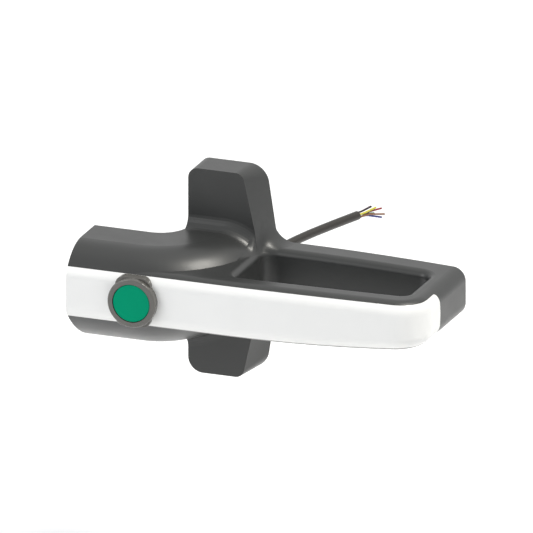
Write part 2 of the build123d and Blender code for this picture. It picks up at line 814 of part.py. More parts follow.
def button_box(x, front, rear, width, low, high):
    """A box behind the button: its middle in x, its depths and its heights."""
    with BuildPart() as box:
        with BuildSketch(button_plane(front)):
            with Locations((x - BUTTON_X, (low + high) / 2)):
                Rectangle(width, high - low)
        extrude(amount=rear - front)
    return box.part


def build_contact_holder():
    """Cup that snaps over the neck and carries both contact blocks."""
    bore = NECK_RADIUS + RUNNING_GAP
    with BuildPart() as holder:
        add(
            turned(
                (
                    (NECK_REAR + HOLDER_OVERLAP, bore),
                    (NECK_REAR + HOLDER_OVERLAP, HOLDER_RADIUS),
                    (HOLDER_REAR, HOLDER_RADIUS),
                    (HOLDER_REAR, 0),
                    (HOLDER_FLOOR, 0),
                    (HOLDER_FLOOR, DISC_RADIUS + 1),
                    (NECK_REAR, DISC_RADIUS + 1),
                    (NECK_REAR, bore),
                )
            )
        )
        with BuildSketch(button_plane(HOLDER_REAR)):
            with Locations(*[(x - BUTTON_X, 0) for x in block_xs()]):
                Circle(PUSHER_RADIUS + PLUNGER_GAP)
        extrude(amount=2 * HOLDER_WALL, mode=Mode.SUBTRACT)
    return holder.part


def build_contact_block(x):
    """Contact block: middle chamber for the bridge, a terminal chamber at each end."""
    inner = BLOCK_WIDTH - 2 * BLOCK_WALL
    reach = BLOCK_HEIGHT / 2
    middle = BRIDGE_HALF_HEIGHT + 1.5 * BLOCK_WALL
    end_wall = middle + BLOCK_WALL
    with BuildPart() as block:
        add(button_box(x, HOLDER_REAR, BLOCK_REAR, BLOCK_WIDTH, -reach, reach))
        add(
            button_box(x, HOLDER_REAR - BLOCK_WALL, BLOCK_REAR + BLOCK_WALL, inner, -middle, middle),
            mode=Mode.SUBTRACT,
        )
        for low, high in ((end_wall, reach), (-reach, -end_wall)):
            add(button_box(x, FIXED_FRONT, BLOCK_REAR, inner, low, high), mode=Mode.SUBTRACT)
        for low, high in ((middle, end_wall), (-end_wall, -middle)):
            add(button_box(x, FIXED_FRONT, FIXED_REAR, FIXED_WIDTH, low, high), mode=Mode.SUBTRACT)
        with BuildSketch(button_plane(HOLDER_REAR)):
            with Locations((x - BUTTON_X, 0)):
                Circle(PUSHER_RADIUS + PLUNGER_GAP)
        extrude(amount=-2 * BLOCK_WALL, mode=Mode.SUBTRACT)
        with BuildSketch(button_plane(FIXED_FRONT)):
            with Locations(*[(x - BUTTON_X, side * TERMINAL_HEIGHT) for side in (1, -1)]):
                Circle(TERMINAL_SCREW_RADIUS)
        extrude(amount=TERMINAL_SCREW_LENGTH, mode=Mode.SUBTRACT)
    return block.part


def build_pusher(x):
    """Pusher of one contact block, from the press disc to the spring's peg."""
    with BuildPart() as pusher:
        with BuildSketch(button_plane(BRIDGE_FRONT)):
            with Locations((x - BUTTON_X, 0)):
                Circle(PUSHER_RADIUS)
        extrude(amount=DISC_REAR - RUNNING_GAP - BRIDGE_FRONT)
        with BuildSketch(button_plane(BRIDGE_FRONT)):
            with Locations((x - BUTTON_X, 0)):
                Circle(PEG_RADIUS)
        extrude(amount=-PEG_LENGTH)
    return pusher.part


def build_bridge(x):
    """Brass bridge that joins two fixed contacts when the button is pressed."""
    with BuildPart() as bridge:
        with BuildSketch(button_plane(BRIDGE_FRONT)):
            with Locations((x - BUTTON_X, 0)):
                Rectangle(FIXED_WIDTH, 2 * BRIDGE_HALF_HEIGHT)
                Circle(PEG_RADIUS + RUNNING_GAP, mode=Mode.SUBTRACT)
        extrude(amount=-BRIDGE_THICKNESS)
    return bridge.part


def build_fixed_contacts():
    """Four brass strips from under the bridges out to the terminals."""
    with BuildPart() as contacts:
        for x in block_xs():
            for side in (1, -1):
                ends = sorted((side * FIXED_INNER_END, side * FIXED_OUTER_END))
                add(button_box(x, FIXED_FRONT, FIXED_REAR, FIXED_WIDTH, *ends))
                with BuildSketch(button_plane(FIXED_FRONT)):
                    with Locations((x - BUTTON_X, side * TERMINAL_HEIGHT)):
                        Circle(TERMINAL_SCREW_RADIUS)
                extrude(amount=-BRIDGE_THICKNESS, mode=Mode.SUBTRACT)
    return contacts.part


def build_terminal_screws():
    """Screws of the four terminals, heads to the rear."""
    places = [(x - BUTTON_X, side * TERMINAL_HEIGHT) for x in block_xs() for side in (1, -1)]
    with BuildPart() as screws:
        with BuildSketch(button_plane(FIXED_REAR - TERMINAL_HEAD_HEIGHT)):
            with Locations(*places):
                Circle(TERMINAL_HEAD_RADIUS)
        extrude(amount=TERMINAL_HEAD_HEIGHT)
        with BuildSketch(button_plane(FIXED_REAR)):
            with Locations(*places):
                Circle(TERMINAL_SCREW_RADIUS - RUNNING_GAP)
        extrude(amount=TERMINAL_SCREW_LENGTH)
        with BuildSketch(button_plane(FIXED_REAR - TERMINAL_HEAD_HEIGHT)):
            with Locations(*places):
                Rectangle(2 * TERMINAL_HEAD_RADIUS, TERMINAL_HEAD_HEIGHT / 3)
        extrude(amount=TERMINAL_HEAD_HEIGHT / 2, mode=Mode.SUBTRACT)
    return screws.part


# Rear covers and their screws


def build_pod_cover():
    """Flush cover over the pod's rear window."""
    with BuildPart() as cover:
        outline = window_sketch(POD_REAR, POD_COVER_LIP - COVER_GAP, CHAMBER_ROUND)
        extrude(outline, amount=-POD_COVER_THICKNESS)
        with Locations(rear_plane(POD_REAR)):
            with Locations(*seen_from_behind(window_screw_places())):
                CounterSinkHole(SCREW_RADIUS, SCREW_HEAD_RADIUS + RUNNING_GAP)
    return cover.part


def build_pod_seal():
    """Flat gasket between the pod's cover and its lip."""
    seat = POD_REAR - POD_COVER_THICKNESS
    with BuildPart() as seal:
        extrude(window_sketch(seat, POD_COVER_LIP - COVER_GAP, CHAMBER_ROUND), amount=-SEAL_THICKNESS)
        extrude(
            window_sketch(seat, 0, CHAMBER_ROUND),
            amount=-SEAL_THICKNESS,
            mode=Mode.SUBTRACT,
        )
        add(screw_cores(window_screw_places(), seat), mode=Mode.SUBTRACT)
    return seal.part


def build_cover_screws(places, y):
    """Countersunk self-tapping screws with a cross slot."""
    with BuildPart() as screws:
        for x, z in places:
            axis = Axis((x, y, z), (0, -1, 0))
            with BuildSketch(Plane(origin=(x, y, z), x_dir=(1, 0, 0), z_dir=(0, 0, 1))):
                with BuildLine():
                    Polyline(
                        (0, 0),
                        (SCREW_HEAD_RADIUS, 0),
                        (SCREW_CORE_RADIUS, -SCREW_HEAD_HEIGHT),
                        (SCREW_CORE_RADIUS, 1 - SCREW_LENGTH),
                        (0, -SCREW_LENGTH),
                        close=True,
                    )
                make_face()
            revolve(axis=axis)
        with BuildSketch(rear_plane(y)):
            with Locations(*seen_from_behind(places)):
                Rectangle(SCREW_HEAD_RADIUS, SCREW_SLOT)
                Rectangle(SCREW_SLOT, SCREW_HEAD_RADIUS)
        extrude(amount=-SCREW_HEAD_HEIGHT / 2, mode=Mode.SUBTRACT)
    return screws.part


def build_wiring_cover():
    """Flush cover of the wiring chamber, with the cable's hole and saddle."""
    width = CHAMBER_RIGHT - CHAMBER_LEFT
    height = CHAMBER_TOP - CHAMBER_BOTTOM
    centre = (-(CHAMBER_LEFT + CHAMBER_RIGHT) / 2, (CHAMBER_TOP + CHAMBER_BOTTOM) / 2)
    grow = COVER_LIP - COVER_GAP
    with BuildPart() as cover:
        with BuildSketch(rear_plane()):
            with Locations(centre):
                RectangleRounded(width + 2 * grow, height + 2 * grow, CHAMBER_ROUND)
        extrude(amount=-COVER_THICKNESS)
        with BuildSketch(rear_plane(-COVER_THICKNESS)):
            with Locations((0, (SADDLE_TOP + SADDLE_BOTTOM) / 2)):
                Rectangle(SADDLE_WIDTH, SADDLE_TOP - SADDLE_BOTTOM)
        extrude(amount=SADDLE_REACH + COVER_THICKNESS)
        with BuildSketch(rear_plane(-COVER_THICKNESS)):
            with Locations(*seen_from_behind(pillar_places())):
                Circle(PILLAR_RADIUS)
        extrude(amount=TERMINAL_STRIP_REAR + COVER_THICKNESS)
        with Locations(rear_plane()):
            with Locations(*seen_from_behind(chamber_screw_places())):
                CounterSinkHole(SCREW_RADIUS, SCREW_HEAD_RADIUS + RUNNING_GAP)
        bores = ((BUSH_RADIUS + RUNNING_GAP, COVER_THICKNESS), (CABLE_CLEAR_RADIUS, -SADDLE_REACH))
        for radius, depth in bores:
            with BuildSketch(rear_plane()):
                Circle(radius)
            extrude(amount=-depth, mode=Mode.SUBTRACT)
        with BuildSketch(rear_plane(-COVER_THICKNESS)):
            Circle(BUSH_FLANGE_RADIUS + NECK_GAP)
        extrude(amount=-(BUSH_FLANGE_THICKNESS + NECK_GAP), mode=Mode.SUBTRACT)
        with BuildSketch(Plane.XY.offset(SADDLE_TOP)):
            with Locations(*clamp_screw_places()):
                Circle(CLAMP_SCREW_RADIUS)
        extrude(amount=-CLAMP_SCREW_DEPTH, mode=Mode.SUBTRACT)
    return cover.part


def pillar_places():
    """Where the terminal strip's pillars stand, as x and z."""
    middle = (CHAMBER_LEFT + CHAMBER_RIGHT) / 2
    z = (TERMINAL_STRIP_TOP + TERMINAL_STRIP_BOTTOM) / 2
    return [(middle - PILLAR_PITCH / 2, z), (middle + PILLAR_PITCH / 2, z)]


def clamp_screw_places():
    """Where the two clamp screws stand, as x and y."""
    y = (CLAMP_REAR + CLAMP_FRONT) / 2
    return [(-CLAMP_SCREW_X, y), (CLAMP_SCREW_X, y)]


def build_cable_bush():
    """Rubber bush that closes the cover round the cable."""
    with BuildPart() as bush:
        with BuildSketch(Plane.XY):
            with BuildLine():
                Polyline(
                    (CABLE_CLEAR_RADIUS, -BUSH_RECESS),
                    (BUSH_RADIUS, -BUSH_RECESS),
                    (BUSH_RADIUS, -COVER_THICKNESS),
                    (BUSH_FLANGE_RADIUS, -COVER_THICKNESS),
                    (BUSH_FLANGE_RADIUS, -COVER_THICKNESS - BUSH_FLANGE_THICKNESS),
                    (CABLE_CLEAR_RADIUS, -COVER_THICKNESS - BUSH_FLANGE_THICKNESS),
                    close=True,
                )
            make_face()
        revolve(axis=Axis.Y)
    return bush.part


def build_cable_clamp():
    """Clamp bar that holds the cable down on the saddle."""
    with BuildPart() as clamp:
        with BuildSketch(Plane.XY.offset(CLAMP_BOTTOM)):
            with Locations((0, (CLAMP_REAR + CLAMP_FRONT) / 2)):
                Rectangle(SADDLE_WIDTH, CLAMP_REAR - CLAMP_FRONT)
        extrude(amount=CLAMP_TOP - CLAMP_BOTTOM)
        with BuildSketch(rear_plane(CLAMP_REAR)):
            Circle(CABLE_CLEAR_RADIUS)
        extrude(amount=CLAMP_FRONT - CLAMP_REAR, mode=Mode.SUBTRACT)
        with BuildSketch(Plane.XY.offset(CLAMP_TOP)):
            with Locations(*clamp_screw_places()):
                Circle(CLAMP_SCREW_RADIUS + RUNNING_GAP)
        extrude(amount=CLAMP_BOTTOM - CLAMP_TOP, mode=Mode.SUBTRACT)
    return clamp.part


def build_clamp_screws():
    """The two screws of the cable clamp."""
    with BuildPart() as screws:
        with BuildSketch(Plane.XY.offset(CLAMP_TOP)):
            with Locations(*clamp_screw_places()):
                Circle(CLAMP_HEAD_RADIUS)
        extrude(amount=CLAMP_HEAD_HEIGHT)
        with BuildSketch(Plane.XY.offset(CLAMP_TOP)):
            with Locations(*clamp_screw_places()):
                Circle(CLAMP_SCREW_RADIUS - RUNNING_GAP)
        extrude(amount=SADDLE_TOP - CLAMP_TOP - CLAMP_SCREW_DEPTH + RUNNING_GAP)
    return screws.part


def build_terminal_strip():
    """Seven-pole terminal strip on the wiring cover's pillars."""
    middle = (CHAMBER_LEFT + CHAMBER_RIGHT) / 2
    width = CORE_COUNT * POLE_PITCH + 1
    poles = [(middle + (pole - (CORE_COUNT - 1) / 2) * POLE_PITCH) for pole in range(CORE_COUNT)]
    with BuildPart() as strip:
        with BuildSketch(Plane.XY.offset(TERMINAL_STRIP_BOTTOM)):
            with Locations((middle, (TERMINAL_STRIP_REAR + TERMINAL_STRIP_FRONT) / 2)):
                Rectangle(width, TERMINAL_STRIP_REAR - TERMINAL_STRIP_FRONT)
        extrude(amount=TERMINAL_STRIP_TOP - TERMINAL_STRIP_BOTTOM)
        with BuildSketch(Plane.XY.offset(TERMINAL_STRIP_TOP)):
            with Locations(*[(x, TERMINAL_STRIP_REAR - POLE_SCREW_INSET) for x in poles]):
                Rectangle(POLE_WELL, POLE_WELL)
        extrude(amount=-POLE_WELL, mode=Mode.SUBTRACT)
    return strip.part


def build_mounting_inserts():
    """Brass threaded inserts, flush with the mounting plane."""
    with BuildPart() as inserts:
        with BuildSketch(rear_plane()):
            with Locations(*seen_from_behind(insert_places())):
                Circle(INSERT_RADIUS - RUNNING_GAP)
                Circle(INSERT_THREAD_RADIUS, mode=Mode.SUBTRACT)
        extrude(amount=-INSERT_LENGTH)
        with BuildSketch(rear_plane(-INSERT_LENGTH / 2)):
            with Locations(*seen_from_behind(insert_places())):
                Circle(INSERT_RADIUS)
                Circle(INSERT_RADIUS - 3 * RUNNING_GAP, mode=Mode.SUBTRACT)
        extrude(amount=-INSERT_GROOVE, mode=Mode.SUBTRACT)
    return inserts.part


# The cable


def tangent_radii(points):
    """Arc radii at the bends, each as large as its shorter run allows."""
    runs = [(b - a) for a, b in zip(points, points[1:])]
    radii = []
    for before, after in zip(runs, runs[1:]):
        half_turn = radians(before.get_angle(after)) / 2
        radii.append(BEND_SHARE * min(before.length, after.length) / tan(half_turn))
    return radii


def tube(points, radii, radius):
    """A round tube along straight runs joined by tangent arcs."""
    with BuildPart() as pipe:
        with BuildLine() as path:
            FilletPolyline(*points, radius=radii)
        with BuildSketch(Plane(origin=points[0], z_dir=points[1] - points[0])):
            Circle(radius)
        sweep(path=path.wire())
    return pipe.part


def cable_route():
    return [Vector(0, CABLE_INNER_Y, 0)] + [Vector(x, y, 0) for x, y in CABLE_POINTS]


def build_cable_jacket():
    points = cable_route()
    radii = tangent_radii(points)
    print("cable bend radii", [round(radius, 1) for radius in radii])
    return tube(points, radii, CABLE_DIAMETER / 2)


def core_start(turn):
    """Where a core leaves the cable's cut end: on a ring, or in the middle."""
    end = cable_route()[-1]
    if turn is None:
        return end
    along = core_direction()
    aside = Vector(along.Y, -along.X, 0)
    return end + CORE_RING * (cos(radians(turn)) * aside + sin(radians(turn)) * Vector(0, 0, 1))


def core_direction():
    points = cable_route()
    return (points[-1] - points[-2]).normalized()


def build_core(turn, length, lift):
    """One bare-ended core, leaving the jacket straight and then fanning out."""
    start = core_start(turn)
    along = core_direction()
    middle = start + CORE_STRAIGHT_SHARE * length * along
    offset_z = cable_route()[-1].Z + lift - start.Z
    end = start + length * along + Vector(0, 0, offset_z)
    points = [start, middle, end]
    return tube(points, tangent_radii(points), CORE_DIAMETER / 2)


# Build and write every piece

LEFT_X, RIGHT_X = block_xs()
PIECES = {
    "grip_body": build_body,
    "front_strip": build_strip,
    "button_housing": build_button_housing,
    "button_gasket": build_button_gasket,
    "button_lens": build_lens,
    "button_plunger": build_plunger,
    "button_press_disc": build_press_disc,
    "button_disc_screw": build_disc_screw,
    "button_locknut": build_locknut,
    "contact_holder": build_contact_holder,
    "fixed_contacts": build_fixed_contacts,
    "contact_terminal_screws": build_terminal_screws,
    "pod_cover": build_pod_cover,
    "pod_cover_seal": build_pod_seal,
    "wiring_cover": build_wiring_cover,
    "cable_bush": build_cable_bush,
    "cable_clamp": build_cable_clamp,
    "cable_clamp_screws": build_clamp_screws,
    "terminal_strip": build_terminal_strip,
    "mounting_inserts": build_mounting_inserts,
    "cable_jacket": build_cable_jacket,
}

for name, build in PIECES.items():
    save(build(), name)

for side, x in (("left", LEFT_X), ("right", RIGHT_X)):
    save(build_contact_block(x), f"contact_block_{side}")
    save(build_pusher(x), f"contact_pusher_{side}")
    save(build_bridge(x), f"contact_bridge_{side}")
    spring = coil(x, BLOCK_REAR + BLOCK_WALL, BRIDGE_REAR, CONTACT_SPRING_RADIUS, CONTACT_SPRING_WIRE, 6)
    save(spring, f"contact_spring_{side}")

save(coil(BUTTON_X, LEDGE_FRONT, FLANGE_REAR, SPRING_RADIUS, SPRING_WIRE, SPRING_TURNS), "return_spring")
save(build_cover_screws(window_screw_places(), POD_REAR), "pod_cover_screws")
save(build_cover_screws(chamber_screw_places(), 0), "wiring_cover_screws")

for name, turn, length, lift in CORES:
    save(build_core(turn, length, lift), f"core_{name}")
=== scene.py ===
import json
import math

import bmesh
import bpy
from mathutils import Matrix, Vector


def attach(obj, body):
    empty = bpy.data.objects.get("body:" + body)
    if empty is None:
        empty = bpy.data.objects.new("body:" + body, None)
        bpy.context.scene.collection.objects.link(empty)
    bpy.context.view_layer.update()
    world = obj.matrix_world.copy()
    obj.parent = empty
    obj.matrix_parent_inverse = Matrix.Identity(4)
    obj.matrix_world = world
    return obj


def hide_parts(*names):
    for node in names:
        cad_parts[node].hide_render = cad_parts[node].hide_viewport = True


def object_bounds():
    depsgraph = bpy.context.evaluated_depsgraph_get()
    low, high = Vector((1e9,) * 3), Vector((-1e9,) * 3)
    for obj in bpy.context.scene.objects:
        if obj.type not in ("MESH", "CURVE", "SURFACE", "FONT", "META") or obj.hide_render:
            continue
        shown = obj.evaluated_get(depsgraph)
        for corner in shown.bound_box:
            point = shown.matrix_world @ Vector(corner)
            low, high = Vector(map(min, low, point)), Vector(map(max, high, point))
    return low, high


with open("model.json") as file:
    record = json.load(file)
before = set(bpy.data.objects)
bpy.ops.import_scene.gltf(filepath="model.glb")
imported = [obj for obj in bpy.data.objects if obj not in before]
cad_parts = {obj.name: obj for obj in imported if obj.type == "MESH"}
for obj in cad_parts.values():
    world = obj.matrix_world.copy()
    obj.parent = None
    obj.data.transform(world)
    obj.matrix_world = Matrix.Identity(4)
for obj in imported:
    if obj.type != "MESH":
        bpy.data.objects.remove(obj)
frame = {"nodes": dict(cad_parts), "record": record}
cad_low, cad_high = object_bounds()
scene = bpy.context.scene

# Camera: a parallel view from the front, right and above

AZIMUTH = math.radians(21.0)
ELEVATION = math.radians(19.25)
VIEW_WIDTH = 0.3198
TARGET = Vector((0.0329, -0.0435, 0.0163))
CAMERA_DISTANCE = 1.5
CAMERA_CLIP_END = 10.0

towards_camera = Vector((
    math.sin(AZIMUTH) * math.cos(ELEVATION),
    -math.cos(AZIMUTH) * math.cos(ELEVATION),
    math.sin(ELEVATION),
))
camera_data = bpy.data.cameras.new("camera")
camera_data.type = "ORTHO"
camera_data.ortho_scale = VIEW_WIDTH
camera_data.clip_end = CAMERA_CLIP_END
camera = bpy.data.objects.new("camera", camera_data)
camera.location = TARGET + CAMERA_DISTANCE * towards_camera
camera.rotation_euler = (-towards_camera).to_track_quat("-Z", "Y").to_euler()
scene.collection.objects.link(camera)
scene.camera = camera

# Cable: its route's points, from the clamp out through the bush to the cut end

CABLE_DIAMETER = 0.0055
CABLE_ROUND_STEPS = 8
CABLE_ROUTE_STEPS = 24
CABLE_POINTS = (
    (0.0, -0.013, 0.0),
    (0.0, 0.008, 0.0),
    (0.007, 0.038, -0.0035),
    (0.019, 0.070, -0.0006),
    (0.0338, 0.1065, 0.0),
)


def nurbs(name, points, radius):
    """A round NURBS tube guided by a few control points."""
    data = bpy.data.curves.new(name, "CURVE")
    data.dimensions = "3D"
    data.bevel_depth = radius
    data.bevel_resolution = CABLE_ROUND_STEPS
    data.resolution_u = CABLE_ROUTE_STEPS
    data.use_fill_caps = True
    spline = data.splines.new("NURBS")
    spline.points.add(len(points) - 1)
    for point, place in zip(spline.points, points):
        point.co = (*place, 1.0)
    spline.order_u = 3
    spline.use_endpoint_u = True
    tube = bpy.data.objects.new(name, data)
    scene.collection.objects.link(tube)
    return tube


cable = nurbs("cable_sheath", CABLE_POINTS, CABLE_DIAMETER / 2)
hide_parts("cable_jacket")
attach(cable, "grip")

# Collar: the ring behind the bezel, squared off above and below, which follows the strip's front

BUTTON_X = -0.0355
STRIP_FRONT_Y = -0.087
EDGE_ROUND = 0.0085
FLAT_HALF = 0.009
COLLAR_HALF_WIDTH = 0.0114
COLLAR_HALF_HEIGHT = 0.0156
COLLAR_CORNER = 0.0055
COLLAR_RADIUS = 0.01505
COLLAR_INNER_RADIUS = 0.0146
COLLAR_HEIGHT = 0.0024
COLLAR_CHAMFER = 0.0003
COLLAR_STEPS = 240
COLLAR_SHARP_ANGLE = math.radians(25.0)


def strip_surface(z):
    """Where the strip's rounded front lies at a height."""
    over = max(0.0, abs(z) - FLAT_HALF)
    return STRIP_FRONT_Y + EDGE_ROUND - math.sqrt(EDGE_ROUND**2 - over**2)


def collar_reach(angle):
    """How far the collar's outline lies from the button's axis: a circle with four ears."""
    x, z = abs(math.cos(angle)), abs(math.sin(angle))
    corner_x = COLLAR_HALF_WIDTH - COLLAR_CORNER
    corner_z = COLLAR_HALF_HEIGHT - COLLAR_CORNER
    along = x * corner_x + z * corner_z
    inside = along**2 - corner_x**2 - corner_z**2 + COLLAR_CORNER**2
    if x * corner_z > z * COLLAR_HALF_WIDTH:
        reach = COLLAR_HALF_WIDTH / x
    elif z * corner_x > x * COLLAR_HALF_HEIGHT:
        reach = COLLAR_HALF_HEIGHT / z
    else:
        reach = along + math.sqrt(max(0.0, inside))
    return max(COLLAR_RADIUS, reach)


def make_collar():
    """A closed ring of one profile turned round the button's axis."""
    front = STRIP_FRONT_Y - COLLAR_HEIGHT
    points = []
    faces = []
    for step in range(COLLAR_STEPS):
        angle = 2 * math.pi * step / COLLAR_STEPS
        outer = collar_reach(angle)
        profile = (
            (COLLAR_INNER_RADIUS, None),
            (outer, None),
            (outer, front + COLLAR_CHAMFER),
            (outer - COLLAR_CHAMFER, front),
            (COLLAR_INNER_RADIUS, front),
        )
        for radius, y in profile:
            x, z = radius * math.cos(angle), radius * math.sin(angle)
            points.append((BUTTON_X + x, strip_surface(z) if y is None else y, z))
        here = step * len(profile)
        there = (step + 1) % COLLAR_STEPS * len(profile)
        for side in range(len(profile)):
            after = (side + 1) % len(profile)
            faces.append((here + side, here + after, there + after, there + side))
    mesh = bpy.data.meshes.new("button_collar")
    mesh.from_pydata(points, [], faces)
    mesh.shade_smooth()
    mesh.set_sharp_from_angle(angle=COLLAR_SHARP_ANGLE)
    collar = bpy.data.objects.new("button_collar", mesh)
    scene.collection.objects.link(collar)
    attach(collar, "grip")
    return collar


collar = make_collar()

# Saddle: the concave blend of the lug's right side, the rear beam and the opening's left end

SADDLE_LOW = (0.012, -0.046, -0.042)
SADDLE_HIGH = (0.060, 0.0, 0.042)
SADDLE_OVERLAP = 0.0002
SADDLE_REAR = -0.0004
SADDLE_VOXEL = 0.0007
SADDLE_STEPS = 90
SADDLE_SMOOTHING = 0.5
SADDLE_SINK = 0.00004
SADDLE_SHARP_ANGLE = math.radians(40.0)
BEAM_HALF_HEIGHT = 0.0175
# Over the beam, the lug's right side starts at LUG_SIDE_REAR, turns in towards the front and leans in
LUG_SIDE_REAR = 0.0236
LUG_SIDE_TURN = 0.205
LUG_SIDE_LEAN = 0.17
WEB_RADIUS = 0.014
WEB_LEVEL_TO = -0.008
WEB_FRONT = -0.0175
WEB_ROOT = 0.003
WEB_LEAST = 0.02
WEB_STATIONS = 12
WEB_ARC_STEPS = 12
CHEEK_LEFT = 0.0125
CHEEK_RIGHT = 0.0212
CHEEK_SIDE = 0.0232
CHEEK_TAPER = 0.2224
CHEEK_OUTLINE = (
    # depth, height
    (-0.0195, 0.0050),
    (-0.0195, 0.0268),
    (-0.0212, 0.0266),
    (-0.0228, 0.0252),
    (-0.0245, 0.0228),
    (-0.0262, 0.0203),
    (-0.0285, 0.0184),
    (-0.0330, 0.0174),
    (-0.0400, 0.0166),
    (-0.0400, 0.0050),
)


def make_box(low, high):
    """A closed box between two corners, as a scratch object."""
    across, along, up = zip(low, high)
    corners = [(x, y, z) for x in across for y in along for z in up]
    faces = [(0, 1, 3, 2), (4, 6, 7, 5), (0, 4, 5, 1), (2, 3, 7, 6), (0, 2, 6, 4), (1, 5, 7, 3)]
    mesh = bpy.data.meshes.new("scratch_box")
    mesh.from_pydata(corners, [], faces)
    box = bpy.data.objects.new("scratch_box", mesh)
    scene.collection.objects.link(box)
    return box


def intersect(piece, box):
    """Keeps only what lies inside the box."""
    cut = piece.modifiers.new("intersect", "BOOLEAN")
    cut.operation = "INTERSECT"
    cut.solver = "EXACT"
    cut.object = box


def applied(piece):
    """The piece's mesh with its modifiers applied."""
    shaped = piece.evaluated_get(bpy.context.evaluated_depsgraph_get())
    return bpy.data.meshes.new_from_object(shaped)


def web_section(y, side):
    """The web's outline at one depth: a root inside lug and beam, and a concave arc."""
    past = max(0.0, WEB_LEVEL_TO - y) / (WEB_LEVEL_TO - WEB_FRONT)
    radius = WEB_RADIUS * math.sqrt(max(WEB_LEAST, 1.0 - past**2))
    foot = LUG_SIDE_REAR + LUG_SIDE_TURN * y
    middle_x = foot - LUG_SIDE_LEAN * radius + radius
    middle_z = BEAM_HALF_HEIGHT + radius
    outline = [(foot - WEB_ROOT, BEAM_HALF_HEIGHT - WEB_ROOT), (foot - WEB_ROOT, middle_z)]
    for step in range(WEB_ARC_STEPS + 1):
        turn = math.pi + math.pi / 2 * step / WEB_ARC_STEPS
        outline.append((middle_x + radius * math.cos(turn), middle_z + radius * math.sin(turn)))
    outline.append((middle_x, BEAM_HALF_HEIGHT - WEB_ROOT))
    return [(x, y, side * z) for x, z in outline]


def add_web(mesh, side):
    """A closed web that fills the corner of lug and beam, above or below."""
    rows = []
    for station in range(WEB_STATIONS + 1):
        y = SADDLE_OVERLAP + (WEB_FRONT - SADDLE_OVERLAP) * station / WEB_STATIONS
        rows.append([mesh.verts.new(place) for place in web_section(y, side)])
    for row, following in zip(rows, rows[1:]):
        for here in range(len(row)):
            after = (here + 1) % len(row)
            mesh.faces.new((row[here], row[after], following[after], following[here]))
    mesh.faces.new(rows[0])
    mesh.faces.new(rows[-1])


def add_cheek(mesh):
    """A closed prism: the lug's right side carried forward and down to the opening's wall."""
    left = []
    right = []
    for y, z in CHEEK_OUTLINE:
        side = min(CHEEK_RIGHT, CHEEK_SIDE - CHEEK_TAPER * z)
        left.append(mesh.verts.new((CHEEK_LEFT, y, z)))
        right.append(mesh.verts.new((side, y, z)))
    for here in range(len(left)):
        after = (here + 1) % len(left)
        mesh.faces.new((left[here], left[after], right[after], right[here]))
    mesh.faces.new(left)
    mesh.faces.new(right)


def make_saddle():
    """A copy of the corner, filled, smoothed and sunk: it only shows where it fills the corner."""
    block = bpy.data.objects.new("block", frame["nodes"]["grip_body"].data.copy())
    scene.collection.objects.link(block)
    box = make_box(SADDLE_LOW, SADDLE_HIGH)
    intersect(block, box)
    corner = applied(block)
    both = bmesh.new()
    both.from_mesh(corner)
    add_web(both, 1)
    add_web(both, -1)
    add_cheek(both)
    bmesh.ops.recalc_face_normals(both, faces=both.faces)
    twin = bmesh.ops.duplicate(both, geom=both.verts[:] + both.edges[:] + both.faces[:])["geom"]
    for item in twin:
        if isinstance(item, bmesh.types.BMVert):
            item.co.y = -item.co.y - SADDLE_OVERLAP
    twin_faces = [item for item in twin if isinstance(item, bmesh.types.BMFace)]
    bmesh.ops.reverse_faces(both, faces=twin_faces)
    both.to_mesh(corner)
    both.free()
    saddle = bpy.data.objects.new("grip_saddle", corner)
    scene.collection.objects.link(saddle)
    remesh = saddle.modifiers.new("remesh", "REMESH")
    remesh.mode = "VOXEL"
    remesh.voxel_size = SADDLE_VOXEL
    smooth = saddle.modifiers.new("smooth", "SMOOTH")
    smooth.factor = SADDLE_SMOOTHING
    smooth.iterations = SADDLE_STEPS
    sink = saddle.modifiers.new("sink", "DISPLACE")
    sink.mid_level = 0.0
    sink.strength = -SADDLE_SINK
    trim = make_box(SADDLE_LOW, (SADDLE_HIGH[0], SADDLE_REAR, SADDLE_HIGH[2]))
    intersect(saddle, trim)
    shaped = applied(saddle)
    saddle.modifiers.clear()
    saddle.data = shaped
    shaped.shade_smooth()
    shaped.set_sharp_from_angle(angle=SADDLE_SHARP_ANGLE)
    for scratch in (block, box, trim):
        bpy.data.objects.remove(scratch)
    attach(saddle, "grip")
    return saddle


saddle = make_saddle()

# Materials: patterns in cycles a metre, heights in metres

COAT_ROUGHNESS = 0.1
PATTERN_MIDDLE = (0.3, 0.7)
FLOW_MARKS = 22.0
HANDLING_MARKS = 60.0
COARSE_GRAIN = 700.0
SMOOTH_GRAIN = 900.0
SHEATH_GRAIN = 1200.0
FINE_GRAIN = 1400.0
PLATING_MARKS = 150.0
PLATING_SHADES = (0.9, 1.05)
PLATING_WEAR = 400.0
PLATING_WEAR_CHANGE = 0.06
TOOL_MARKS = 900.0
TOOL_MARK_HEIGHT = 0.000015


